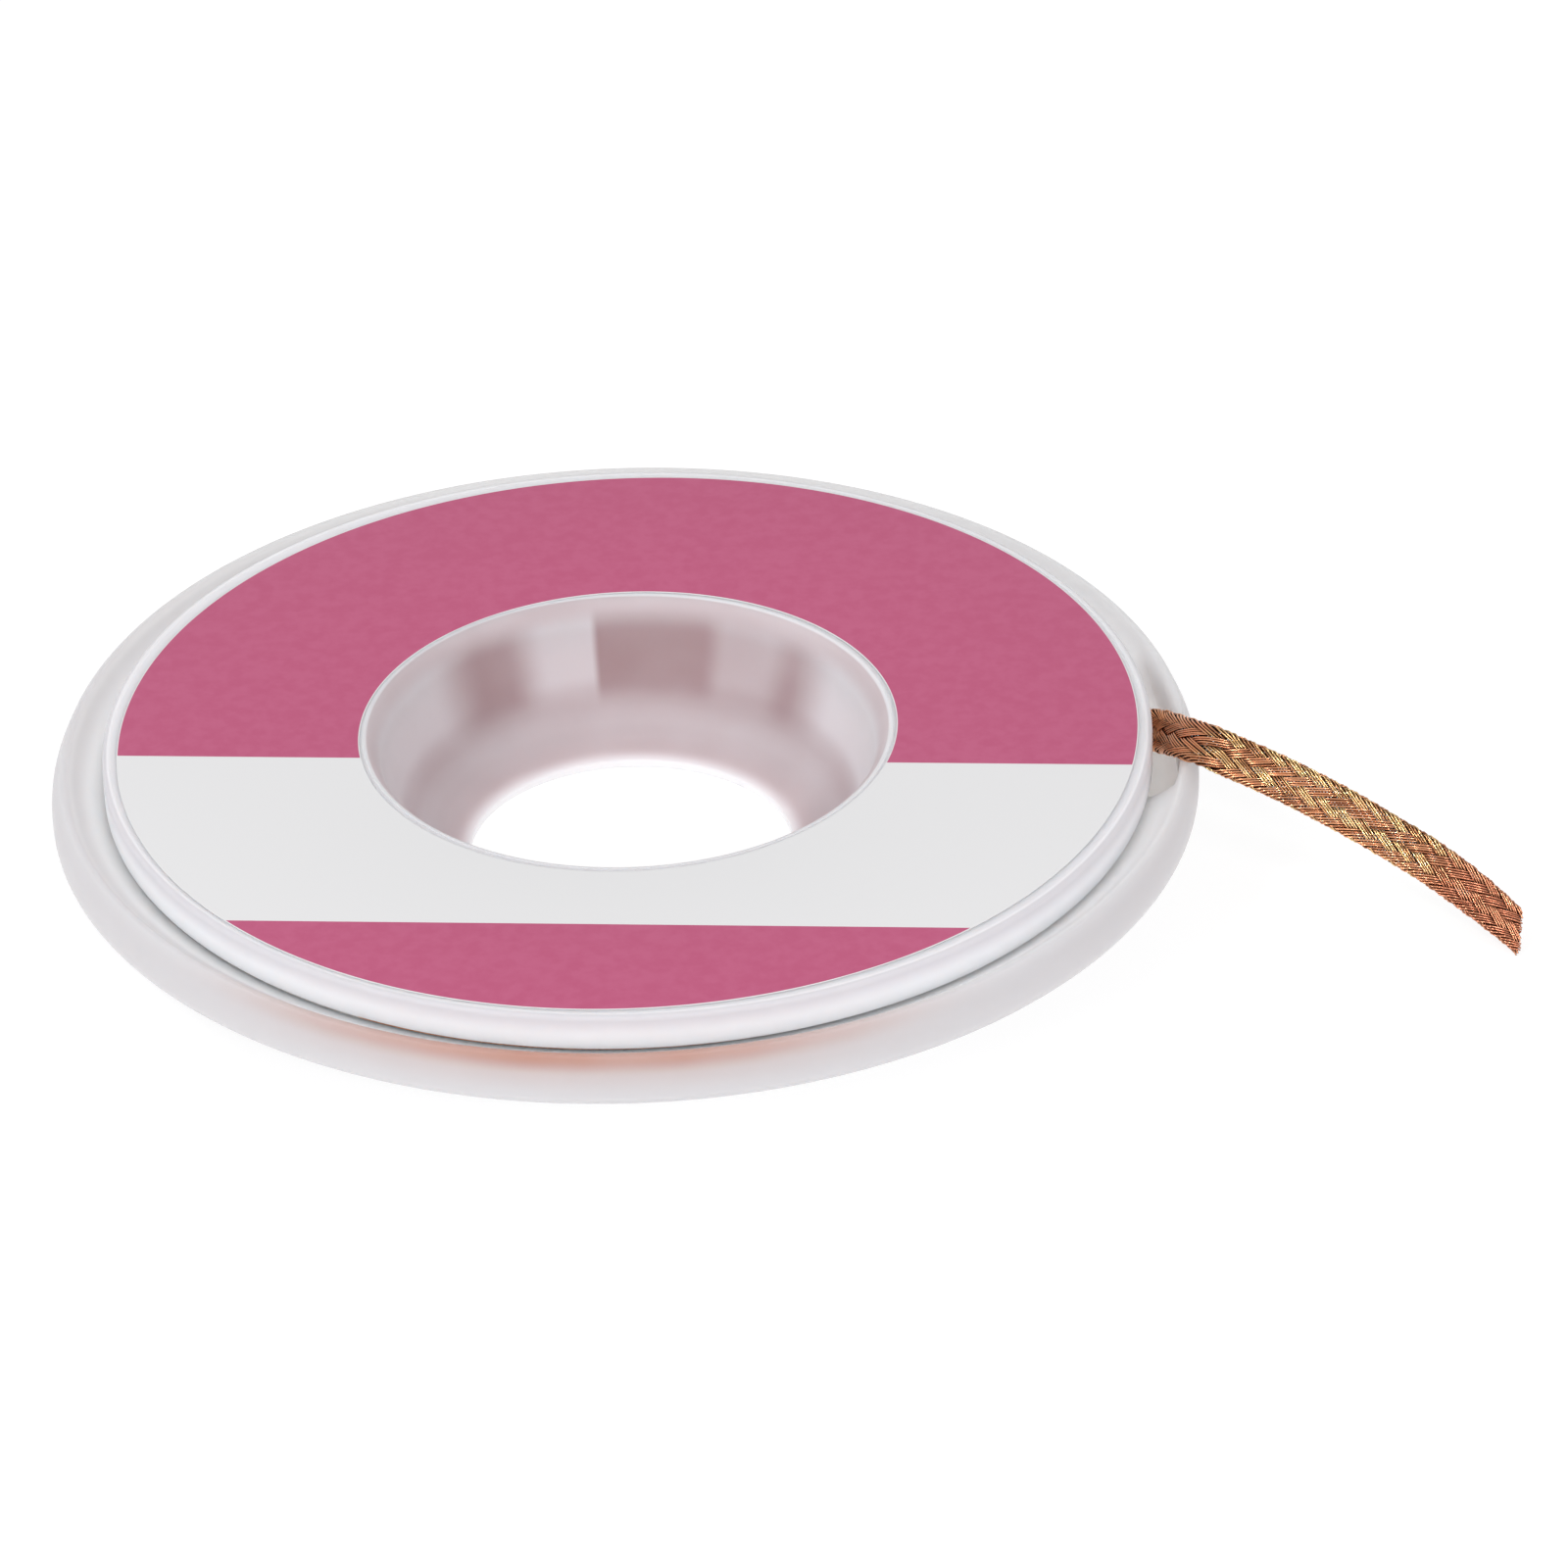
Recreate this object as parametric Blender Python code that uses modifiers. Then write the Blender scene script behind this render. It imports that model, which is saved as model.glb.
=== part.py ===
"""Desoldering braid on its bobbin.

A flat white disc bobbin lies on its base. Its dish and its top flange close over a wound copper braid,
and the braid's free end comes out between their rims, climbs over the dish's lip and runs down to the table.
Metres, +Z up, with the origin at the centre of the base.
"""

import math

import bpy
from mathutils import Vector

MM = 0.001
CLEAR = 0.3 * MM  # gap between neighbouring pieces
FACETS = 72  # sides of a turned piece
CURVE_STEPS = 4  # straight pieces in a rounded stretch of a profile
MERGE = 0.00001

# Bobbin as a whole
HEIGHT = 7.0 * MM  # base to the label's printed face
BORE_R = 7.7 * MM  # hole through the hub

# Braid, a flattened copper tube
BRAID_WIDTH = 2.0 * MM
BRAID_THICK = 0.45 * MM
TURN_PITCH = 0.55 * MM  # radial room that one wound turn takes
SOLD_LENGTH = 1.5
FREE_LENGTH = 0.044  # the end that has come off the winding
TAIL_STEPS = 29  # straight pieces in the free end
ROUTE_STEPS = 20  # fine steps between two points of the route

# Hub and funnel, part of the top flange's moulding
HUB_R = 12.0 * MM  # outside of the hub's neck
FUNNEL_WALL = 0.4 * MM  # plastic between the funnel's throat and the outside of the neck
FUNNEL_DRAFT = 0.6 * MM  # how much the steep wall closes in from the throat to its foot
FUNNEL_FLARE = 0.9 * MM  # how much the mouth opens out above the throat
THROAT_DROP = 1.4 * MM  # top face to the throat
FUNNEL_FOOT = 3.6 * MM  # height at which the steep wall starts to bend into the floor
FLOOR_RISE = 0.8 * MM  # climb of the funnel's floor from the hole to the wall's line
BORE_LAND = 0.42 * MM  # height of the straight hole wall
LIP_LAND = 0.1 * MM  # flat top of the raised edge round the mouth

# Dish, one moulding that fits round the hub's neck
DISH_R = 27.1 * MM
BASE_INSET = 0.45 * MM  # the flat base ring ends this far inside the winding's outer turn
BASE_ROUND = 0.5 * MM
DISH_WALL = 0.6 * MM
FLOOR_THICK = 0.8 * MM
DISH_CORNER = 0.35 * MM  # rounding of the rim's lower outer corner
LIP_DROP = 0.8 * MM  # the lip's top below the label's face
LIP_HEIGHT = 2.25 * MM  # lower outer corner to the lip's top
LIP_LEAN = 0.5 * MM  # how far the lip closes in towards its top
LIP_THICK = 0.4 * MM
LIP_FILLET = 0.8 * MM  # curve from the cone's inside up into the lip

# Top flange
RIM_GAP = 1.45 * MM  # open ring between the flange and the dish's lip
FLANGE_ROUND = 0.3 * MM  # rounding of the upper outer edge
SKIRT_DROP = 1.73 * MM  # how far the rim is turned down
SKIRT_WALL = 0.7 * MM
PLATE_THICK = 0.7 * MM

# Paper label, in a shallow seat in the flange
LABEL_THICK = 0.1 * MM
LABEL_MARGIN = 0.05 * MM  # flat ring between the seat and the flange's rounded edge

# Sizes that follow
WOUND_R = math.sqrt((HUB_R + CLEAR) ** 2 + (SOLD_LENGTH - FREE_LENGTH) * TURN_PITCH / math.pi)
DISH_BASE_R = WOUND_R - BASE_INSET
CORNER_Z = HEIGHT - LIP_DROP - LIP_HEIGHT
LIP_INNER_R = DISH_R - LIP_LEAN - LIP_THICK
FLANGE_R = LIP_INNER_R - RIM_GAP
SEAT_OUTER_R = FLANGE_R - FLANGE_ROUND - LABEL_MARGIN
MOUTH_R = HUB_R - FUNNEL_WALL + FUNNEL_FLARE
SEAT_INNER_R = MOUTH_R + LIP_LAND

# Free end: middle of the braid in mm, and how far its face leans back from upright in degrees
TAIL_ROUTE = [
    (12.8, 16.35, 2.6, 0),
    (14.8, 14.55, 2.6, 0),
    (16.6, 12.5, 2.65, 6),
    (18.65, 9.75, 2.85, 20),
    (20.75, 6.95, 3.2, 38),
    (22.85, 4.15, 3.7, 46),
    (23.95, 2.75, 4.15, 42),
    (25.0, 1.4, 4.9, 30),
    (25.55, -0.35, 5.75, 29),
    (26.05, -2.6, 6.85, 40),
    (26.95, -4.4, 7.5, 50),
    (28.15, -5.5, 7.45, 52),
    (29.9, -6.5, 7.05, 54),
    (31.6, -7.3, 6.45, 55),
    (33.4, -8.1, 5.7, 57),
    (35.15, -8.85, 4.85, 59),
    (36.95, -9.5, 3.85, 62),
    (38.7, -10.15, 2.65, 67),
    (40.5, -10.8, 1.2, 74),
    (41.15, -11.05, 0.6, 77),
]


def blend(start, corner, end):
    """Points of the parabola that leaves start and reaches end, both aimed at corner."""
    points = []
    for i in range(CURVE_STEPS + 1):
        t = i / CURVE_STEPS
        a, b, c = (1 - t) ** 2, 2 * t * (1 - t), t * t
        points.append(tuple(a * p + b * q + c * r for p, q, r in zip(start, corner, end)))
    return points


def arc(centre, radius, from_deg, to_deg):
    """Points of an arc in a profile, angles measured from the +radius direction."""
    points = []
    for i in range(CURVE_STEPS + 1):
        a = math.radians(from_deg + (to_deg - from_deg) * i / CURVE_STEPS)
        points.append((centre[0] + radius * math.cos(a), centre[1] + radius * math.sin(a)))
    return points


def material(name, colour, roughness, metallic):
    mat = bpy.data.materials.new(name)
    mat.use_nodes = True
    shader = mat.node_tree.nodes["Principled BSDF"]
    shader.inputs["Base Color"].default_value = (*colour, 1.0)
    shader.inputs["Roughness"].default_value = roughness
    shader.inputs["Metallic"].default_value = metallic
    return mat


def turned(name, profile, mat, parts):
    """A piece of revolution about Z. The closed profile runs down its outer side first."""
    mesh = bpy.data.meshes.new(name)
    count = len(profile)
    edges = [(i, (i + 1) % count) for i in range(count)]
    mesh.from_pydata([(r, 0.0, z) for r, z in profile], edges, [])
    obj = bpy.data.objects.new(name, mesh)
    parts.objects.link(obj)
    mesh.materials.append(mat)
    screw = obj.modifiers.new("turn", "SCREW")
    screw.axis = "Z"
    screw.angle = math.tau
    screw.steps = screw.render_steps = FACETS
    screw.use_merge_vertices = True
    screw.merge_threshold = MERGE
    screw.use_smooth_shade = True
    return obj


def top_flange_profile():
    """The flange's rim and underside, then the neck, the hole, the funnel and the label's seat."""
    seat_z = HEIGHT - LABEL_THICK - CLEAR
    under_z = seat_z - PLATE_THICK
    skirt_z = HEIGHT - SKIRT_DROP
    skirt_inner = FLANGE_R - SKIRT_WALL
    rim = arc((FLANGE_R - FLANGE_ROUND, HEIGHT - FLANGE_ROUND), FLANGE_ROUND, 90, 0)
    throat = (HUB_R - FUNNEL_WALL, HEIGHT - THROAT_DROP)
    foot = (throat[0] - FUNNEL_DRAFT, FUNNEL_FOOT)
    # The corners of the floor and of the mouth lie on the steep wall's line, drawn on past both its ends
    draft = FUNNEL_DRAFT / (throat[1] - foot[1])
    bend_z = BORE_LAND + FLOOR_RISE
    floor = blend((BORE_R, BORE_LAND), (foot[0] - draft * (foot[1] - bend_z), bend_z), foot)
    mouth = blend(throat, (throat[0] + draft * THROAT_DROP, HEIGHT), (MOUTH_R, HEIGHT))
    return (
        rim
        + [(FLANGE_R, skirt_z), (skirt_inner, skirt_z), (skirt_inner, under_z)]
        + [(HUB_R, under_z), (HUB_R, 0.0), (BORE_R, 0.0)]
        + floor
        + mouth
        + [(SEAT_INNER_R, HEIGHT), (SEAT_INNER_R, seat_z), (SEAT_OUTER_R, seat_z), (SEAT_OUTER_R, HEIGHT)]
    )


def bottom_dish_profile():
    """The lip, the cone under it, the base ring, and the same cone one wall higher inside."""
    hole_r = HUB_R + CLEAR
    cone_foot = (DISH_BASE_R + BASE_ROUND, 0.0)
    slope = math.atan2(CORNER_Z, DISH_R - cone_foot[0])

    def up_cone(point, distance):
        return (point[0] + distance * math.cos(slope), point[1] + distance * math.sin(slope))

    # Outside
    lip_r = DISH_R - LIP_LEAN
    lip_top = arc((lip_r - LIP_THICK / 2, HEIGHT - LIP_DROP - LIP_THICK / 2), LIP_THICK / 2, 180, 0)
    lip_side = blend(lip_top[-1], (DISH_R, CORNER_Z + LIP_HEIGHT / 2), (DISH_R, CORNER_Z + DISH_CORNER))
    rim_corner = (DISH_R, CORNER_Z)
    corner = blend(lip_side[-1], rim_corner, up_cone(rim_corner, -DISH_CORNER))
    base = blend(up_cone(cone_foot, BASE_ROUND), cone_foot, (DISH_BASE_R, 0.0))
    # Inside
    rise = DISH_WALL / math.cos(slope)
    floor_r = cone_foot[0] + (FLOOR_THICK - rise) / math.tan(slope)
    inner_corner = (LIP_INNER_R, rise + (LIP_INNER_R - cone_foot[0]) * math.tan(slope))
    fillet_end = (LIP_INNER_R, inner_corner[1] + LIP_FILLET)
    fillet = blend(up_cone(inner_corner, -LIP_FILLET), inner_corner, fillet_end)
    inside = [(hole_r, 0.0), (hole_r, FLOOR_THICK), (floor_r, FLOOR_THICK)] + fillet
    return lip_top + lip_side[1:] + corner[1:] + base + inside


def winding_profile():
    """The wound braid as one ring, as thick as its length needs at one turn's pitch."""
    bore_r = HUB_R + CLEAR
    low = FLOOR_THICK + CLEAR
    high = low + BRAID_WIDTH
    edge = BRAID_THICK / 2
    upper = arc((WOUND_R - edge, high - edge), edge, 90, 0)
    lower = arc((WOUND_R - edge, low + edge), edge, 0, -90)
    return upper + lower + [(bore_r, low), (bore_r, high)]


def label_profile():
    outer, inner = SEAT_OUTER_R - CLEAR, SEAT_INNER_R + CLEAR
    low = HEIGHT - LABEL_THICK
    return [(outer, HEIGHT), (outer, low), (inner, low), (inner, HEIGHT)]


def smooth_route(route, steps):
    """The (point, lean) at the ends of that many even steps along a Catmull-Rom curve through the route."""
    knots = [Vector((x * MM, y * MM, z * MM, lean * MM)) for x, y, z, lean in route]
    knots = [2 * knots[0] - knots[1], *knots, 2 * knots[-1] - knots[-2]]
    fine = []
    for a, b, c, d in zip(knots, knots[1:], knots[2:], knots[3:]):
        for i in range(ROUTE_STEPS):
            t = i / ROUTE_STEPS
            bend = (c - a) * t + (2 * a - 5 * b + 4 * c - d) * t**2 + (3 * b - a - 3 * c + d) * t**3
            fine.append(b + bend / 2)
    fine.append(knots[-2])
    along = [0.0]
    for a, b in zip(fine, fine[1:]):
        along.append(along[-1] + (b.xyz - a.xyz).length)
    samples, j = [], 0
    for i in range(steps + 1):
        want = along[-1] * i / steps
        while j < len(fine) - 2 and along[j + 1] < want:
            j += 1
        p = fine[j].lerp(fine[j + 1], (want - along[j]) / (along[j + 1] - along[j]))
        samples.append((p.xyz, p.w / MM))
    return samples


def flat_braid(name, samples, mat, parts):
    """A flat band with round edges along the samples, its face turned by each sample's lean."""
    curve = bpy.data.curves.new(name, "CURVE")
    curve.dimensions = "3D"
    curve.fill_mode = "FULL"
    curve.twist_mode = "Z_UP"
    curve.bevel_depth = BRAID_THICK / 2
    curve.bevel_resolution = 2
    curve.extrude = (BRAID_WIDTH - BRAID_THICK) / 2
    curve.use_fill_caps = True
    spline = curve.splines.new("POLY")
    spline.points.add(len(samples) - 1)
    for point, (place, lean) in zip(spline.points, samples):
        point.co = (*place, 1.0)
        point.tilt = -math.radians(lean)
    spline.use_smooth = True
    obj = bpy.data.objects.new(name, curve)
    parts.objects.link(obj)
    curve.materials.append(mat)
    return obj


def build():
    for obj in list(bpy.data.objects):
        bpy.data.objects.remove(obj, do_unlink=True)
    parts = bpy.data.collections.new("desoldering_braid")
    bpy.context.scene.collection.children.link(parts)

    white = material("white_plastic", (0.80, 0.80, 0.82), 0.45, 0.0)
    paper = material("label_paper", (0.62, 0.22, 0.36), 0.6, 0.0)
    copper = material("copper_braid", (0.72, 0.36, 0.20), 0.35, 1.0)

    turned("top_flange", top_flange_profile(), white, parts)
    turned("bottom_dish", bottom_dish_profile(), white, parts)
    turned("paper_label", label_profile(), paper, parts)
    turned("braid_winding", winding_profile(), copper, parts)
    flat_braid("braid_tail", smooth_route(TAIL_ROUTE, TAIL_STEPS), copper, parts)


build()
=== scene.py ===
# Desoldering braid on its bobbin: looks, light and camera. Metres, +Z up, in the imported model's frame.
import math
import random

import bmesh
import bpy
from mathutils import Matrix, Vector, kdtree, noise


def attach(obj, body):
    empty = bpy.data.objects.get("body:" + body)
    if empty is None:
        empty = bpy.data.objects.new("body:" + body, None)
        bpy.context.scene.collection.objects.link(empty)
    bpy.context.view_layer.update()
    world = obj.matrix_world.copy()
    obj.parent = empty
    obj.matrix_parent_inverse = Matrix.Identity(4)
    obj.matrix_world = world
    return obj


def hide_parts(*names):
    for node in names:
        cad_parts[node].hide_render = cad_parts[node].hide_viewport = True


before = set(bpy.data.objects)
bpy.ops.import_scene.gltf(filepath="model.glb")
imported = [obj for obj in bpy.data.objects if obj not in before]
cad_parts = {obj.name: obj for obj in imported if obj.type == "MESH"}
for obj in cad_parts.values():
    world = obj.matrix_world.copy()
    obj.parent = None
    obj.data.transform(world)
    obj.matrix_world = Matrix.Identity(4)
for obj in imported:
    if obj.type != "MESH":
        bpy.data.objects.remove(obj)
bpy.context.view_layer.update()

mm = 0.001
random.seed(7)


# camera, light and floor

camera = {
    "distance": 0.3379,  # to the middle of the label's face
    "targetHeight": 0.007,
    "elevation": 31.19,
    "turn": (-1.235, 0.505, -2.105),  # yaw, pitch and roll that put the bobbin left of the middle
    "lens": 164.4,
    "nearest": 0.01,
}

lights = {  # place, aim, size, power and colour
    "key": ((-0.48, -0.12, 0.66), (0, 0, 0), (0.16, 0.16), 1.0, (1.0, 1.0, 1.0)),
    "leftFront": ((-0.50, -0.62, 0.34), (0, 0, 0), (0.12, 0.2), 1.9, (1.0, 0.99, 1.0)),
    "rightFront": ((0.50, -0.62, 0.34), (0, 0, 0), (0.12, 0.2), 1.3, (1.0, 0.98, 1.0)),
    "front": ((0.1, -0.8, 0.52), (0, 0, 0), (0.09, 0.09), 1.8, (1.0, 0.99, 0.97)),
}

stageLook = {
    "floorSize": 3.0,
    "floorDrop": 0.00002,
    "floorWhite": 0.25,
    "floorGlow": 0.8,
    "floorRoughness": 0.8,
    "floorGloss": 0.2,
    "worldWhite": 1.0,
    "worldStrength": 0.66,
}


def placeCamera():
    tilt = math.radians(camera["elevation"])
    yaw, pitch, roll = (math.radians(a) for a in camera["turn"])
    back = Vector((0, -math.cos(tilt), math.sin(tilt))) * camera["distance"]
    place = Matrix.Translation(back + Vector((0, 0, camera["targetHeight"])))
    look = Matrix.Rotation(math.pi / 2 - tilt, 4, "X")
    turn = Matrix.Rotation(yaw, 4, "Y") @ Matrix.Rotation(-pitch, 4, "X") @ Matrix.Rotation(roll, 4, "Z")
    data = bpy.data.cameras.new("camera")
    data.lens = camera["lens"]
    data.clip_start = camera["nearest"]
    view = bpy.data.objects.new("camera", data)
    view.matrix_world = place @ look @ turn
    bpy.context.scene.collection.objects.link(view)
    bpy.context.scene.camera = view


def placeLights():
    for name, (place, aim, size, power, colour) in lights.items():
        data = bpy.data.lights.new(name, "AREA")
        data.shape = "RECTANGLE"
        data.size, data.size_y = size
        data.energy = power
        data.color = colour
        lamp = bpy.data.objects.new(name, data)
        lamp.location = place
        lamp.rotation_euler = (Vector(aim) - Vector(place)).to_track_quat("-Z", "Y").to_euler()
        bpy.context.scene.collection.objects.link(lamp)
    world = bpy.data.worlds.new("studio")
    world.use_nodes = True
    sky = world.node_tree.nodes["Background"]
    sky.inputs["Color"].default_value = (*[stageLook["worldWhite"]] * 3, 1.0)
    sky.inputs["Strength"].default_value = stageLook["worldStrength"]
    bpy.context.scene.world = world
    bpy.context.scene.view_settings.view_transform = "Standard"


def layFloor():
    bm = bmesh.new()
    bmesh.ops.create_grid(bm, x_segments=1, y_segments=1, size=stageLook["floorSize"] / 2)
    bmesh.ops.translate(bm, verts=bm.verts, vec=(0, 0, -stageLook["floorDrop"]))
    floor = meshObject("floor", bm)
    mat, tree, shader = newMaterial("floorPaper", stageLook["floorRoughness"])
    shader.inputs["Base Color"].default_value = (*[stageLook["floorWhite"]] * 3, 1.0)
    shader.inputs["Specular IOR Level"].default_value = stageLook["floorGloss"]
    shader.inputs["Emission Color"].default_value = (1.0, 1.0, 1.0, 1.0)
    shader.inputs["Emission Strength"].default_value = stageLook["floorGlow"]
    floor.data.materials.append(mat)


# small helpers for meshes and materials


def meshObject(name, bm, *materials):
    mesh = bpy.data.meshes.new(name)
    bm.to_mesh(mesh)
    bm.free()
    for mat in materials:
        mesh.materials.append(mat)
    obj = bpy.data.objects.new(name, mesh)
    bpy.context.scene.collection.objects.link(obj)
    return obj


def newMaterial(name, roughness=0.5):
    mat = bpy.data.materials.new(name)
    mat.use_nodes = True
    shader = mat.node_tree.nodes["Principled BSDF"]
    shader.inputs["Roughness"].default_value = roughness
    return mat, mat.node_tree, shader


def srgb(red, green, blue):
    # eight-bit screen colour to the linear colour that a shader wants
    return (*[((c / 255 + 0.055) / 1.055) ** 2.4 for c in (red, green, blue)], 1.0)


def addNode(tree, kind, inputs, **settings):
    node = tree.nodes.new("ShaderNode" + kind)
    for key, value in settings.items():
        setattr(node, key, value)
    for key, value in inputs.items():
        if isinstance(value, bpy.types.NodeSocket):
            tree.links.new(value, node.inputs[key])
        else:
            node.inputs[key].default_value = value
    return node


def calc(tree, operation, a, b=0.0):
    return addNode(tree, "Math", {0: a, 1: b}, operation=operation).outputs[0]


def product(tree, *factors):
    result = factors[0]
    for factor in factors[1:]:
        result = calc(tree, "MULTIPLY", result, factor)
    return result


def ramp(tree, value, limits, low=0.0, high=1.0):
    # low up to the first limit, high past the second, smooth between
    start, end = limits
    inputs = {"Value": value, "From Min": start, "From Max": end, "To Min": low, "To Max": high}
    return addNode(tree, "MapRange", inputs, interpolation_type="SMOOTHSTEP").outputs["Result"]


def rampInMm(tree, value, limits, low=0.0, high=1.0):
    start, end = limits
    return ramp(tree, value, (start * mm, end * mm), low, high)


def mixColour(tree, amount, first, second):
    return addNode(tree, "Mix", {0: amount, 6: first, 7: second}, data_type="RGBA").outputs[2]


def noiseAt(tree, coords, scale, detail=2.0):
    return addNode(tree, "TexNoise", {"Vector": coords, "Scale": scale, "Detail": detail}).outputs["Fac"]


def bumpFrom(tree, height, distance, strength):
    inputs = {"Height": height, "Distance": distance, "Strength": strength}
    return addNode(tree, "Bump", inputs).outputs["Normal"]


def objectCoords(tree):
    return addNode(tree, "TexCoord", {}).outputs["Object"]


def axesOf(tree, coords):
    # the three axes of a place, and its distance from the hub's axis
    axes = addNode(tree, "SeparateXYZ", {"Vector": coords}).outputs
    flat = addNode(tree, "CombineXYZ", {"X": axes["X"], "Y": axes["Y"]}).outputs[0]
    return axes, addNode(tree, "VectorMath", {0: flat}, operation="LENGTH").outputs["Value"]


def degreesFrom(tree, along, across):
    # how far round from the direction along, in degrees either way
    return calc(tree, "MULTIPLY", calc(tree, "ARCTAN2", across, along), math.degrees(1))


def weld(bm, gap):
    # points closer than gap mm become one
    bmesh.ops.remove_doubles(bm, verts=bm.verts, dist=gap * mm)


def roundedOutline(corners, steps=6):
    # closed outline in mm; each corner is (radius, height, how far before it the rounding starts), and for an
    # uneven rounding also how far after it the rounding ends
    outline = []
    for i, (r, z, cut, *more) in enumerate(corners):
        here = Vector((r, z))
        before = Vector(corners[i - 1][:2]) - here
        after = Vector(corners[(i + 1) % len(corners)][:2]) - here
        if cut == 0:
            outline.append(here)
            continue
        start = here + before.normalized() * cut
        end = here + after.normalized() * (more[0] if more else cut)
        for k in range(steps + 1):
            t = k / steps
            outline.append(start * (1 - t) ** 2 + here * 2 * t * (1 - t) + end * t * t)
    return outline


def spinOutline(outline, segments=288):
    bm = bmesh.new()
    verts = [bm.verts.new((p.x * mm, 0, p.y * mm)) for p in outline]
    edges = [bm.edges.new((verts[i - 1], verts[i])) for i in range(len(verts))]
    bmesh.ops.spin(
        bm, geom=verts + edges, cent=(0, 0, 0), axis=(0, 0, 1), angle=math.tau, steps=segments, use_merge=True
    )
    weld(bm, 0.001)
    bmesh.ops.recalc_face_normals(bm, faces=bm.faces)
    for face in bm.faces:
        face.smooth = True
    return bm


# the two white mouldings; lengths in mm, and a pair of limits runs from none to full

flange = {
    "outline": [  # radius, height and rounding
        (24.75, 7.0, 0.3),
        (24.75, 5.27, 0.06),
        (24.05, 5.27, 0.12),
        (24.05, 5.9, 0.2),
        (12.0, 5.9, 0.3),
        (12.0, 0.0, 0.1),
        (7.7, 0.0, 0.1),
        (7.7, 0.42, 0.1),
        (10.286, 1.22, 2.5, 2.48),
        (12.02, 7.0, 1.46, 0.48),
        (12.52, 7.0, 0.01),
        (12.53, 6.975, 0.01),
        (24.38, 6.975, 0.01),
        (24.4, 7.0, 0.02),
    ],
    "white": srgb(229, 227, 231),
    "edge": (srgb(199, 197, 202), srgb(244, 242, 246)),  # top and foot of the skirt, which lets light through: painted shade at the top, where the lamps light it most, and painted light at the foot
    "edgeHeights": (6.95, 5.9),  # of those two whites
    "edgeRadii": (24.48, 24.6),
    "scatter": 1.5,  # how far light spreads in the plastic
    "glow": srgb(161, 135, 138),  # painted colour of the copper seen through the white
}

funnelTint = {  # painted tint where the wound copper shows through the hub's wall
    "foot": (0.3, 0.7),
    "mouth": (6.99, 6.92),
    "radii": (12.9, 12.6),
    "wallFoot": (1.4, 3.2),
    "wallTop": (6.8, 5.4),
    "overall": 0.6,
    "onWall": 0.4,
    "patches": (  # painted light where the lamps fall on the wall: degrees from the back where each starts, is full, stops being full, ends; how much paler
        (-31, -19, -8.5, -6, 0.56),
        (19, 26, 36, 47, 0.31),
        (-170, -110, -56, -37, 0.55),
        (43, 62, 115, 170, 0.7),
    ),
    "paintedLightFoot": (1.8, 3.6),
    "paintedLightTop": (6.8, 5.8),
}

dish = {
    "outline": [
        (26.6, 6.2, 0.14),
        (27.1, 5.1, 0.5),
        (27.1, 3.95, 0.35),
        (20.2, 0.0, 0.5),
        (12.3, 0.0, 0.1),
        (12.3, 0.8, 0.1),
        (20.4, 0.8, 0.4),
        (24.25, 3.01, 0.3),
        (24.35, 5.08, 0.15),
        (24.98, 5.15, 0.3),
        (25.4, 5.41, 0),
        (25.8, 5.72, 0),
        (26.1, 5.96, 0),
        (26.2, 6.04, 0),
        (26.36, 6.2, 0.09),
    ],
    "innerCone": (20.4, 0.8, 0.574),  # radius and height of its foot, and its rise for each mm outwards
    "outerCone": (20.2, 0.573),  # the same, with its foot at the base
    "notch": (-12, -6.5, 11, 17),  # degrees; here the rim is cut away to the cone and the braid leaves
    "notchRadii": (24.0, 26.15),
    "white": srgb(185, 184, 187),
    "inside": (srgb(199, 199, 201), srgb(252, 252, 253)),  # the rim's slope at its top and at its foot, painted lighter there to lift the shade under the flange's skirt
    "insideRadii": (26.2, 25.0),  # of those two whites
    "insideAbove": (0.2, 0.5),  # height above the outer cone
    "insideEnd": (26.55, 26.25),
    "scatter": 5.0,
    # painted colour of the copper seen through the dish's rim
    "glow": srgb(158, 110, 94),
    "offset": (-0.15, -0.05),  # it sits a little loose round the neck
}

lipTint = {  # painted tint where the wound copper shows through the dish's rim, strongest under the flange's edge
    "middle": -7,  # degrees from the front, where the winding lies nearest to the rim
    "spread": (46.0, 8.0),  # degrees to either side
    "rim": (4.3, 6.0),
    "onRim": 0.32,
    "lip": (5.3, 6.1),
    "onLip": 0.58,
    "radii": (24.0, 25.5),
}

plastic = {
    "roughness": (0.42, 0.55),
    "gloss": 0.3,
    "index": 1.49,
    "cloudScale": 160.0,
    "clouds": (0.3, 0.7),
    "thinnest": 0.85,  # part of the tint that is left where the clouds thin it
    "grainScale": 2600.0,
    "grainDepth": 0.01,
    "grainStrength": 0.25,
    "spread": (1.0, 0.9, 0.85),  # of red, green and blue light in it
    "sharpAngle": 50,
}


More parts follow.
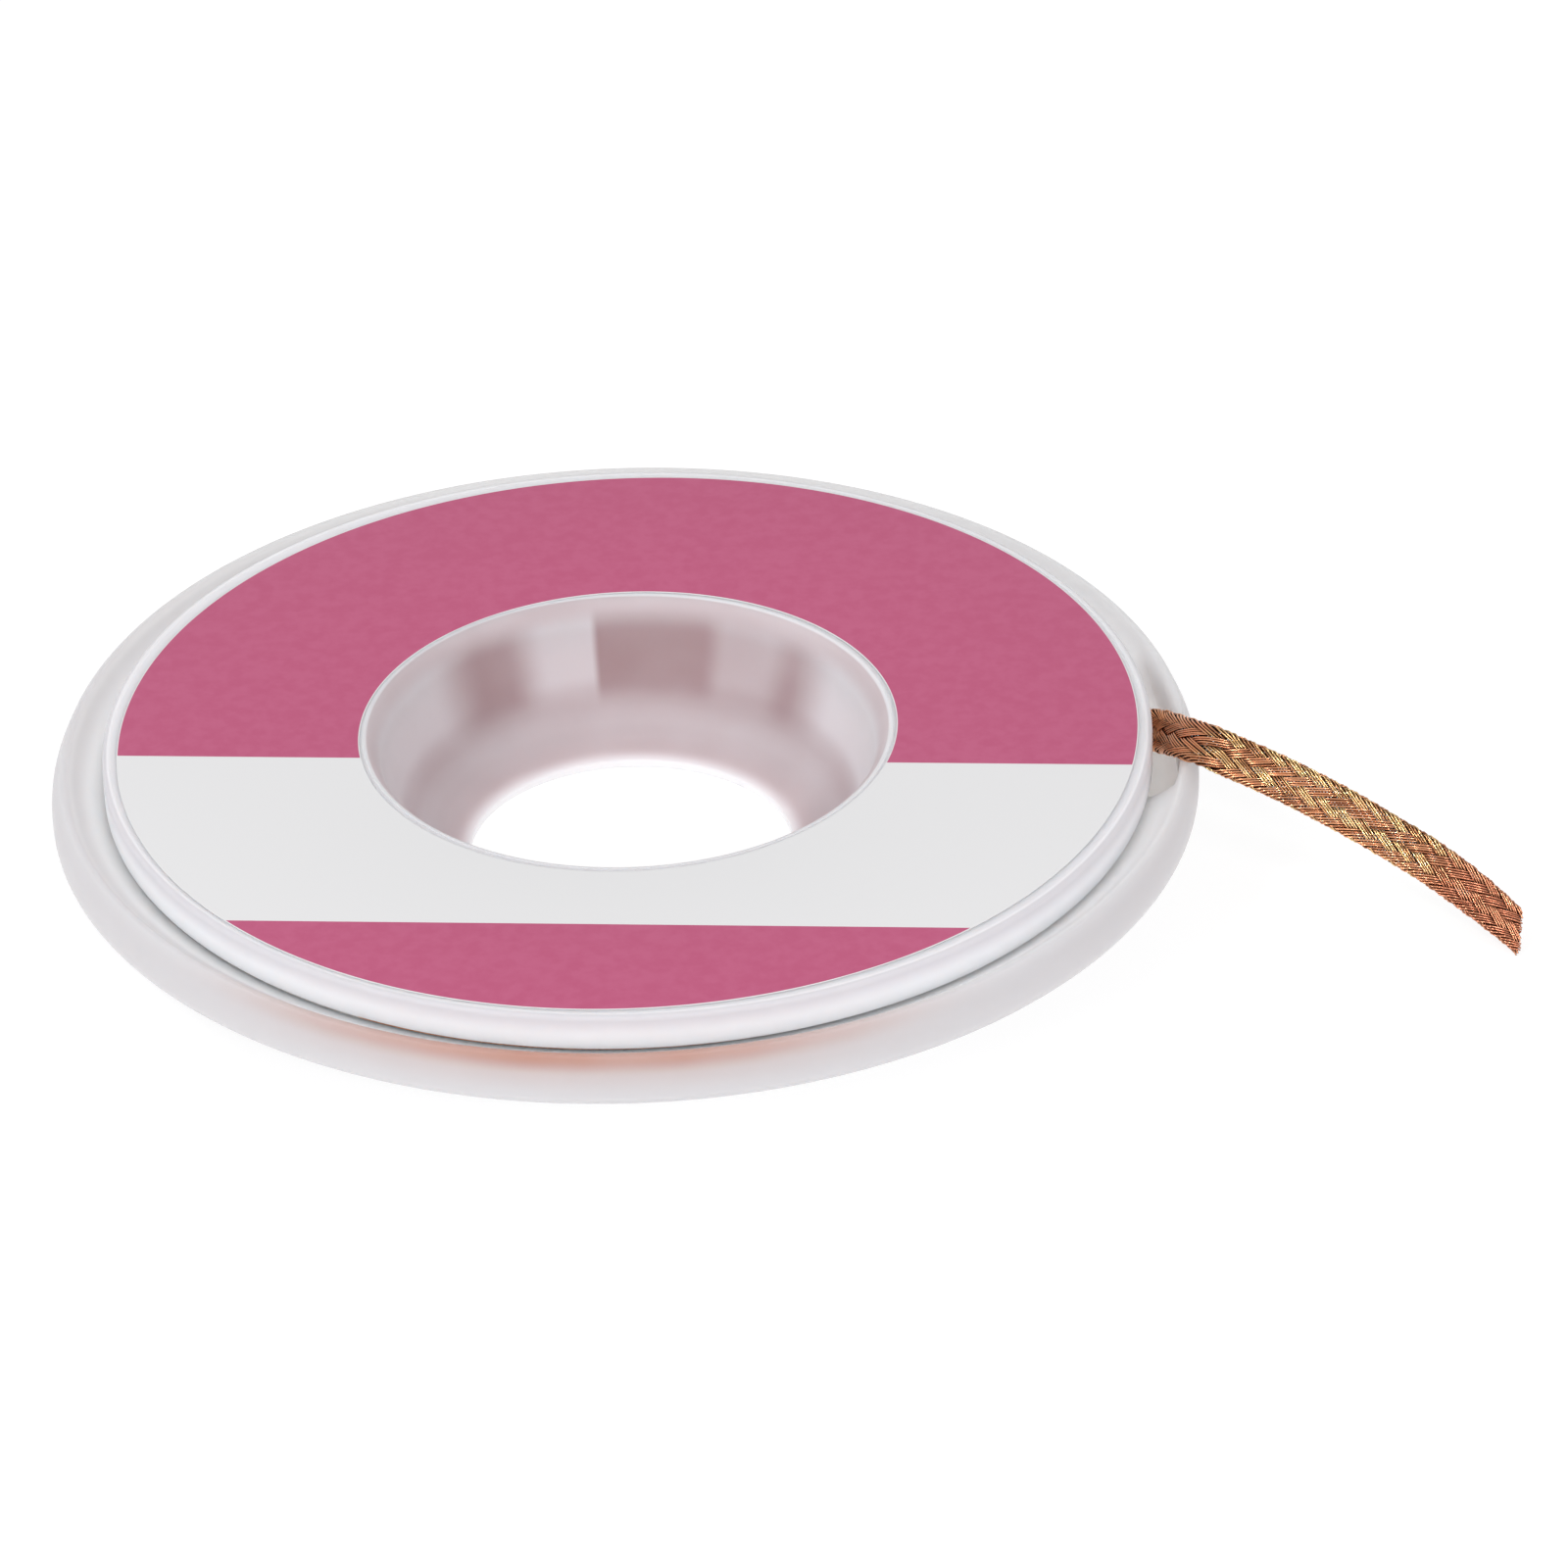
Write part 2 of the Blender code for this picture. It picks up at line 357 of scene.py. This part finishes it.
def mouldedPlastic(name, shape, glow):
    # translucent white; glow says where a painted tint stands in for the copper behind it showing through
    mat, tree, shader = newMaterial(name)
    coords = objectCoords(tree)
    axes, radius = axesOf(tree, coords)
    clouds = noiseAt(tree, coords, plastic["cloudScale"])
    white = shape["white"]
    # painted shading on the flange's skirt: darker at its top, lighter at its foot
    if "edge" in shape:
        edge = mixColour(tree, rampInMm(tree, axes["Z"], shape["edgeHeights"]), *shape["edge"])
        white = mixColour(tree, rampInMm(tree, radius, shape["edgeRadii"]), white, edge)
    # painted light on the dish's inner slope, strongest at its shaded foot
    if "inside" in shape:
        foot, rise = shape["outerCone"]
        cone = calc(tree, "MULTIPLY", calc(tree, "SUBTRACT", radius, foot * mm), rise)
        above = rampInMm(tree, calc(tree, "SUBTRACT", axes["Z"], cone), shape["insideAbove"])
        slope = mixColour(tree, rampInMm(tree, radius, shape["insideRadii"]), *shape["inside"])
        within = product(tree, above, rampInMm(tree, radius, shape["insideEnd"]))
        white = mixColour(tree, within, white, slope)
    thinned = ramp(tree, clouds, plastic["clouds"], plastic["thinnest"])
    tint = product(tree, glow(tree, radius, axes), thinned)
    tree.links.new(mixColour(tree, tint, white, shape["glow"]), shader.inputs["Base Color"])
    tree.links.new(ramp(tree, clouds, plastic["clouds"], *plastic["roughness"]), shader.inputs["Roughness"])
    grain = noiseAt(tree, coords, plastic["grainScale"], 3.0)
    bump = bumpFrom(tree, grain, plastic["grainDepth"] * mm, plastic["grainStrength"])
    tree.links.new(bump, shader.inputs["Normal"])
    shader.inputs["Subsurface Weight"].default_value = 1.0
    shader.inputs["Subsurface Radius"].default_value = plastic["spread"]
    shader.inputs["Subsurface Scale"].default_value = shape["scatter"] * mm
    shader.inputs["IOR"].default_value = plastic["index"]
    shader.inputs["Specular IOR Level"].default_value = plastic["gloss"]
    return mat


def funnelGlow(tree, radius, axes):
    # painted tint for the wound braid, which lies just outside the hub's neck, showing through the wall;
    # painted light on the lamps' bright patches outshines it
    inside = product(
        tree,
        rampInMm(tree, axes["Z"], funnelTint["mouth"]),
        rampInMm(tree, axes["Z"], funnelTint["foot"]),
        rampInMm(tree, radius, funnelTint["radii"]),
    )
    wall = product(
        tree,
        rampInMm(tree, axes["Z"], funnelTint["wallFoot"]),
        rampInMm(tree, axes["Z"], funnelTint["wallTop"]),
    )
    strength = calc(tree, "ADD", funnelTint["overall"], product(tree, wall, funnelTint["onWall"]))
    shown = product(tree, inside, strength)
    angle = degreesFrom(tree, axes["Y"], axes["X"])
    for start, full, last, end, paler in funnelTint["patches"]:
        paintedLight = product(
            tree,
            ramp(tree, angle, (start, full)),
            ramp(tree, angle, (end, last), 0.0, paler),
            rampInMm(tree, axes["Z"], funnelTint["paintedLightFoot"]),
            rampInMm(tree, axes["Z"], funnelTint["paintedLightTop"]),
        )
        shown = product(tree, shown, calc(tree, "SUBTRACT", 1.0, paintedLight))
    return shown


def lipGlow(tree, radius, axes):
    # painted tint for the copper seen through the dish's rim
    angle = degreesFrom(tree, calc(tree, "MULTIPLY", axes["Y"], -1.0), axes["X"])
    off = calc(tree, "ABSOLUTE", calc(tree, "SUBTRACT", angle, lipTint["middle"]))
    rim = rampInMm(tree, axes["Z"], lipTint["rim"], 0.0, lipTint["onRim"])
    lip = rampInMm(tree, axes["Z"], lipTint["lip"], 0.0, lipTint["onLip"])
    return product(
        tree,
        calc(tree, "ADD", rim, lip),
        ramp(tree, off, lipTint["spread"]),
        rampInMm(tree, radius, lipTint["radii"]),
    )


def cutNotch(bm):
    # lower the inside of the dish's rim to its cone where the braid comes out
    start, full, last, end = dish["notch"]
    near, far = dish["notchRadii"]
    footRadius, footHeight, rise = dish["innerCone"]
    for vert in bm.verts:
        angle = math.degrees(math.atan2(vert.co.y, vert.co.x))
        radius, height = vert.co.xy.length / mm, vert.co.z / mm
        cone = footHeight + (radius - footRadius) * rise
        if near < radius < far and height > cone and start < angle < end:
            share = min(1.0, (angle - start) / (full - start), (end - angle) / (end - last))
            vert.co.z += (cone - height) * share * share * (3 - 2 * share) * mm


def makeMouldings():
    for name, node, shape, glow in (
        ("flange_moulding", "top_flange", flange, funnelGlow),
        ("dish_moulding", "bottom_dish", dish, lipGlow),
    ):
        bm = spinOutline(roundedOutline(shape["outline"]))
        if "notch" in shape:
            cutNotch(bm)
        x, y = shape.get("offset", (0, 0))
        bmesh.ops.translate(bm, verts=bm.verts, vec=(x * mm, y * mm, 0))
        piece = meshObject(name, bm, mouldedPlastic(name, shape, glow))
        piece.data.set_sharp_from_angle(angle=math.radians(plastic["sharpAngle"]))
        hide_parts(node)
        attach(piece, "root")
    print("mouldings made")


# the paper label

label = {  # lengths in mm
    "outline": [(24.08, 7.0, 0.01), (24.08, 6.98, 0), (12.68, 6.98, 0), (12.68, 7.0, 0.01)],
    "oval": 0.17,  # it was cut this much long on one diagonal and short on the other
    "offset": (0.03, -0.06),  # stuck on a little to one side
    "turn": -5.4,  # degrees
    "edge": 0.04,  # white edge left round the print
    "upperBand": -2.98,  # the pink above this line, and again below the next one
    "lowerBand": -17.1,
    "blur": 0.02,
    "pink": srgb(184, 83, 120),
    "pinkThin": srgb(188, 90, 126),  # where the ink lies thinner
    "white": srgb(225, 225, 226),
    "blotchScale": 1500.0,
    "blotches": (0.3, 0.7),
    "fibreScale": 5000.0,
    "fibreDepth": 0.01,
    "fibreStrength": 0.2,
    "roughness": 0.5,
    "gloss": 0.35,
    "sharpAngle": 40,
}


def labelPaper():
    mat, tree, shader = newMaterial("printedPaper", label["roughness"])
    shader.inputs["Specular IOR Level"].default_value = label["gloss"]
    coords = objectCoords(tree)
    cut = addNode(tree, "Attribute", {}, attribute_name="asCut").outputs["Vector"]
    turn = {"Vector": cut, "Rotation": (0, 0, math.radians(label["turn"]))}
    axes, radius = axesOf(tree, addNode(tree, "Mapping", turn, vector_type="TEXTURE").outputs[0])
    blur = label["blur"]
    upper, lower = label["upperBand"], label["lowerBand"]
    outer = label["outline"][0][0] - label["edge"]
    inner = label["outline"][2][0] + label["edge"]
    above = rampInMm(tree, axes["Y"], (upper, upper + blur))
    below = rampInMm(tree, axes["Y"], (lower, lower - blur))
    ink = product(
        tree,
        calc(tree, "MAXIMUM", above, below),
        rampInMm(tree, radius, (outer, outer - blur)),
        rampInMm(tree, radius, (inner, inner + blur)),
    )
    blotch = ramp(tree, noiseAt(tree, coords, label["blotchScale"], 4.0), label["blotches"])
    pink = mixColour(tree, blotch, label["pink"], label["pinkThin"])
    tree.links.new(mixColour(tree, ink, label["white"], pink), shader.inputs["Base Color"])
    fibre = noiseAt(tree, coords, label["fibreScale"], 4.0)
    bump = bumpFrom(tree, fibre, label["fibreDepth"] * mm, label["fibreStrength"])
    tree.links.new(bump, shader.inputs["Normal"])
    return mat


def makeLabel():
    bm = spinOutline(roundedOutline(label["outline"]))
    asCut = bm.verts.layers.float_vector.new("asCut")
    for vert in bm.verts:
        vert[asCut] = vert.co
    stretch = label["oval"] / label["outline"][0][0]
    oval = Matrix.Scale(1 + stretch, 4, (1, 1, 0)) @ Matrix.Scale(1 - stretch, 4, (1, -1, 0))
    x, y = label["offset"]
    bmesh.ops.transform(bm, matrix=Matrix.Translation((x * mm, y * mm, 0)) @ oval, verts=bm.verts)
    piece = meshObject("label_print", bm, labelPaper())
    piece.data.set_sharp_from_angle(angle=math.radians(label["sharpAngle"]))
    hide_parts("paper_label")
    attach(piece, "root")
    print("label made")


# copper braid

braid = {  # lengths in mm
    "width": 2.0,
    "loose": 0.1,  # how much wider than that the slack weave spreads
    "wire": 0.088,
    "lift": 0.056,  # of a bundle that lies over another
    "core": 0.115,  # middle of the woven wall above the middle of the flattened tube
    "carriers": 8,  # bundles that run each way round
    "wires": 4,  # in a bundle
    "repeat": 1.05,  # one bundle to the next along the braid
    "weaveStart": -0.05,
    "step": 0.18,
    "straggle": 0.03,  # how far a wire strays
    "steepness": 2.2,  # how quickly a bundle changes from over to under
    "bundle": 0.94,  # part of its room that a bundle fills
    "short": 0.15,  # how far before the braid's end its wires stop
    "uneven": 0.08,
    "snip": -0.55,  # how much further the lower edge runs at the cut, for each mm across
    "roughness": (0.12, 0.28),
    # the two ways round of the weave: painted light on the one and painted shade on the other, for how the
    # lamps catch each
    "paintedLit": srgb(255, 217, 156),
    "paintedShaded": srgb(244, 176, 132),
    "tones": (0.25, 0.75, 1.0, 1.0),  # how clean single wires are
    "oldest": srgb(150, 84, 54),
    "stainAndShade": srgb(255, 182, 134),
    "patchScale": 700.0,
    "patches": (0.35, 0.7),
    "patchy": 0.25,  # how much stain the patches have
    "tarnish": srgb(212, 138, 108),
    "shadow": srgb(64, 30, 18),
    "hollow": (0.092, -0.02),  # height against the wall's middle, from no shadow to full
}

freeEnd = {  # lengths in mm
    "route": [  # middle of the braid, and the lean of its face in degrees
        (12.8, 16.35, 2.6, 0),
        (14.8, 14.55, 2.6, 0),
        (16.6, 12.5, 2.65, 6),
        (18.65, 9.75, 2.85, 20),
        (20.75, 6.95, 3.2, 38),
        (22.85, 4.15, 3.7, 46),
        (23.95, 2.75, 4.15, 42),
        (25.0, 1.4, 4.9, 30),
        (25.55, -0.35, 5.75, 29),
        (26.05, -2.6, 6.85, 40),
        (26.95, -4.4, 7.5, 46),
        (28.15, -5.5, 7.45, 42),
        (29.9, -6.5, 7.05, 38),
        (31.6, -7.3, 6.45, 36),
        (33.4, -8.1, 5.7, 36),
        (35.15, -8.85, 4.85, 38),
        (36.95, -9.5, 3.85, 42),
        (38.7, -10.15, 2.65, 50),
        (40.5, -10.8, 1.2, 64),
        (41.15, -11.05, 0.6, 70),
    ],
    "fine": 20,  # points from one of these to the next
    "shadedAndStained": (27.0, 25.5),  # along the braid: the bobbin's painted shade and the handling stain end here
    "mostShadeAndStain": 0.95,
    "tarnished": (37.0, 40.5),
    "mostTarnish": 0.85,
    "pulled": (21.0, 27.5),  # along the braid: the weave is pulled longer here
    "pull": 0.5,
}


def fineRoute(route):
    # closely spaced points of a smooth curve through the route, each with its lean and its distance along
    knots = [Vector(row) for row in route]
    knots = [2 * knots[0] - knots[1], *knots, 2 * knots[-1] - knots[-2]]
    fine = []
    for a, b, c, d in zip(knots, knots[1:], knots[2:], knots[3:]):
        for i in range(freeEnd["fine"]):
            t = i / freeEnd["fine"]
            bend = (c - a) * t + (2 * a - 5 * b + 4 * c - d) * t**2 + (3 * b - a - 3 * c + d) * t**3
            fine.append(b + bend / 2)
    fine.append(knots[-2])
    along = [0.0]
    for a, b in zip(fine, fine[1:]):
        along.append(along[-1] + (b.xyz - a.xyz).length)
    return fine, along


def routeFrames(fine):
    # middle, direction across the width and direction out of the face at each fine point
    frames = []
    for i, p in enumerate(fine):
        ahead = (fine[min(i + 1, len(fine) - 1)].xyz - fine[max(i - 1, 0)].xyz).normalized()
        side = ahead.cross(Vector((0, 0, 1))).normalized()
        up = side.cross(ahead)
        lean = math.radians(p.w)
        across = up * math.cos(lean) - side * math.sin(lean)
        out = side * math.cos(lean) + up * math.sin(lean)
        frames.append((p.xyz, across, out))
    return frames


def wallSize():
    # length of each flat side of the woven wall, the whole way round it, and the room of one bundle
    flat = braid["width"] + braid["loose"] - 2 * braid["wire"] - 2 * braid["core"]
    wayRound = 2 * (flat + math.pi * braid["core"])
    return flat, wayRound, wayRound / braid["carriers"]


def wallPlace(w, height):
    # (across, out) of a point of the wall, w mm round the flattened tube from its upper front edge
    flat, wayRound, _ = wallSize()
    w %= wayRound
    side = -1 if w >= wayRound / 2 else 1
    w %= wayRound / 2
    reach = braid["core"] + height
    if w < flat:
        return side * (flat / 2 - w), side * reach
    angle = (w - flat) / braid["core"]
    return -side * (flat / 2 + reach * math.sin(angle)), side * reach * math.cos(angle)


def lay(s):
    # distance along an even braid that s mm of this one has; it is pulled longer where it climbs out
    start, end = freeEnd["pulled"]
    return s - freeEnd["pull"] * max(0.0, min(s, end) - start)


def wirePlaces(carrier, strand, direction, frames, along):
    # one wire's middle, step by step, two bundles over and two under, to its snipped end
    pitch = wallSize()[2]
    slope = pitch / braid["repeat"]
    beside = (strand + 0.5) / braid["wires"] - 0.5
    seed = Vector((carrier, strand, direction)) * 3.7
    end = along[-1] - braid["short"] - random.uniform(0, braid["uneven"])
    places, s, j = [], 0.0, 0
    while True:
        while j < len(along) - 2 and along[j + 1] < s:
            j += 1
        centre = carrier * pitch + direction * lay(s) * slope
        stray = noise.noise(seed + Vector((s / 3, 0, 0))) * braid["straggle"]
        weave = math.sin(math.pi / 2 * (2 * centre / pitch + beside + 0.5)) * braid["steepness"]
        lift = max(-1.0, min(1.0, weave)) * direction * braid["lift"]
        lift += noise.noise(seed + Vector((0, s, 5))) * braid["straggle"]
        x, n = wallPlace(centre + beside * pitch * braid["bundle"] + stray + braid["weaveStart"], lift)
        t = (s - along[j]) / (along[j + 1] - along[j])
        (pa, ua, na), (pb, ub, nb) = frames[j], frames[j + 1]
        places.append(pa + (pb - pa) * t + ua.lerp(ub, min(t, 1)) * x + na.lerp(nb, min(t, 1)) * n)
        last = end + braid["snip"] * x
        if s >= last:
            return places
        s = min(s + braid["step"], last)


def wiresOneWay(direction, materials, frames, along):
    # the wires of all bundles that turn this way round the tube, each in a tone of its own
    curve = bpy.data.curves.new("wires", "CURVE")
    curve.dimensions = "3D"
    curve.bevel_depth = braid["wire"] / 2 * mm
    curve.bevel_resolution = 1
    curve.use_fill_caps = True
    for mat in materials:
        curve.materials.append(mat)
    for carrier in range(braid["carriers"]):
        for strand in range(braid["wires"]):
            places = wirePlaces(carrier, strand, direction, frames, along)
            spline = curve.splines.new("POLY")
            spline.points.add(len(places) - 1)
            spline.material_index = random.randrange(len(braid["tones"]))
            for point, place in zip(spline.points, places):
                point.co = (*(place * mm), 1.0)
    return curve


def curveMesh(curve):
    # the curve as a mesh, with its caps still loose
    obj = bpy.data.objects.new("shape", curve)
    bpy.context.scene.collection.objects.link(obj)
    mesh = bpy.data.meshes.new_from_object(obj.evaluated_get(bpy.context.evaluated_depsgraph_get()))
    bpy.data.objects.remove(obj, do_unlink=True)
    return mesh


def copperWire(name, colour, tone):
    mat, tree, shader = newMaterial(name)
    along = addNode(tree, "Attribute", {}, attribute_name="along").outputs["Fac"]
    rise = addNode(tree, "Attribute", {}, attribute_name="rise").outputs["Fac"]
    patches = ramp(tree, noiseAt(tree, objectCoords(tree), braid["patchScale"], 3.0), braid["patches"])
    shadedAndStained = ramp(tree, along, freeEnd["shadedAndStained"], 0.0, freeEnd["mostShadeAndStain"])
    tarnished = ramp(tree, along, freeEnd["tarnished"], 0.0, freeEnd["mostTarnish"])
    surface = (*[c * tone + old * (1 - tone) for c, old in zip(colour[:3], braid["oldest"])], 1.0)
    surface = mixColour(tree, product(tree, patches, braid["patchy"]), surface, braid["stainAndShade"])
    # painted shade of the bobbin near where the braid comes out, together with handling stain
    surface = mixColour(tree, shadedAndStained, surface, braid["stainAndShade"])
    surface = mixColour(tree, tarnished, surface, braid["tarnish"])
    surface = mixColour(tree, ramp(tree, rise, braid["hollow"]), surface, braid["shadow"])
    tree.links.new(surface, shader.inputs["Base Color"])
    tree.links.new(ramp(tree, patches, (0.0, 1.0), *braid["roughness"]), shader.inputs["Roughness"])
    shader.inputs["Metallic"].default_value = 1.0
    return mat


def makeFreeEnd():
    fine, along = fineRoute(freeEnd["route"])
    frames = routeFrames(fine)
    bm = bmesh.new()
    tones = braid["tones"]
    materials = []
    # the weave's two ways round, in painted light and painted shade
    for name, direction in (("paintedLit", 1), ("paintedShaded", -1)):
        family = [copperWire(f"{name}Wire{i}", braid[name], tone) for i, tone in enumerate(tones)]
        done = len(bm.faces)
        bm.from_mesh(curveMesh(wiresOneWay(direction, family, frames, along)))
        bm.faces.ensure_lookup_table()
        for face in bm.faces[done:]:
            face.material_index += len(materials)
            face.smooth = True
        materials += family
    weld(bm, 0.0005)
    finder = kdtree.KDTree(len(fine))
    for i, p in enumerate(fine):
        finder.insert(p.xyz * mm, i)
    finder.balance()
    far, rise = (bm.verts.layers.float.new(name) for name in ("along", "rise"))
    flat = wallSize()[0] / 2
    for vert in bm.verts:
        i = finder.find(vert.co)[1]
        middle, across, out = frames[i]
        place = vert.co / mm - middle
        vert[far] = along[i]
        vert[rise] = math.hypot(max(0.0, abs(place.dot(across)) - flat), place.dot(out)) - braid["core"]
    piece = meshObject("braid_free_end", bm, *materials)
    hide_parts("braid_tail")
    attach(piece, "root")
    print("free end woven,", len(piece.data.polygons), "faces,", round(along[-1], 2), "mm long")


winding = {  # lengths in mm
    "bore": 12.3,
    "outside": 20.155,
    "pitch": 0.55,
    "middle": 2.1,  # height of the braid's middle
    "thick": 0.42,
    "endAngle": 56.0,  # where the outer turn comes off towards the free end
    "pointsATurn": 96,
    "roughness": 0.35,
    "ribSlant": 2.2,  # how far round a rib runs for each mm up
    "ribShift": 1000.0,  # keeps the heights above zero
    "ribDepth": 0.04,
    "ribStrength": 0.8,
    "patchScale": 500.0,
    "patches": (0.3, 0.7),
    "tarnish": (0.1, 0.7),  # between and in the patches
    "sharpAngle": 50,
}


def woundCopper():
    mat, tree, shader = newMaterial("woundCopper", winding["roughness"])
    coords = objectCoords(tree)
    axes = addNode(tree, "SeparateXYZ", {"Vector": coords}).outputs
    around = calc(tree, "MULTIPLY", calc(tree, "ARCTAN2", axes["Y"], axes["X"]), winding["outside"] * mm)
    row = wallSize()[2] * mm
    zigzag = calc(tree, "PINGPONG", calc(tree, "ADD", axes["Z"], winding["ribShift"] * mm), row)
    phase = calc(tree, "ADD", around, calc(tree, "MULTIPLY", zigzag, winding["ribSlant"]))
    apart = braid["repeat"] / braid["wires"] * mm
    wires = calc(tree, "SINE", calc(tree, "MULTIPLY", phase, math.tau / apart))
    bump = bumpFrom(tree, wires, winding["ribDepth"] * mm, winding["ribStrength"])
    tree.links.new(bump, shader.inputs["Normal"])
    cloud = noiseAt(tree, coords, winding["patchScale"], 3.0)
    patches = ramp(tree, cloud, winding["patches"], *winding["tarnish"])
    # the copper of the braid's painted-shade family, with tarnish in patches
    tree.links.new(mixColour(tree, patches, braid["paintedShaded"], braid["tarnish"]), shader.inputs["Base Color"])
    shader.inputs["Metallic"].default_value = 1.0
    return mat


def makeWinding():
    half = winding["thick"] / 2
    inner, outer = winding["bore"] + half, winding["outside"] - half
    turns = (outer - inner) / winding["pitch"]
    count = int(turns * winding["pointsATurn"])
    curve = bpy.data.curves.new("turns", "CURVE")
    curve.dimensions = "3D"
    curve.twist_mode = "Z_UP"
    curve.bevel_depth = half * mm
    curve.bevel_resolution = 2
    curve.extrude = (braid["width"] / 2 - half) * mm
    curve.use_fill_caps = True
    spline = curve.splines.new("POLY")
    spline.points.add(count)
    for i, point in enumerate(spline.points):
        radius = outer - (outer - inner) * i / count
        angle = math.radians(winding["endAngle"]) + math.tau * turns * i / count
        point.co = (radius * math.cos(angle) * mm, radius * math.sin(angle) * mm, winding["middle"] * mm, 1.0)
    bm = bmesh.new()
    bm.from_mesh(curveMesh(curve))
    weld(bm, 0.0005)
    bmesh.ops.recalc_face_normals(bm, faces=bm.faces)
    for face in bm.faces:
        face.smooth = True
    piece = meshObject("wound_braid", bm, woundCopper())
    piece.data.set_sharp_from_angle(angle=math.radians(winding["sharpAngle"]))
    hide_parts("braid_winding")
    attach(piece, "root")
    print("winding made,", round(turns, 1), "turns")


placeCamera()
makeFreeEnd()
placeLights()
layFloor()
makeMouldings()
makeLabel()
makeWinding()
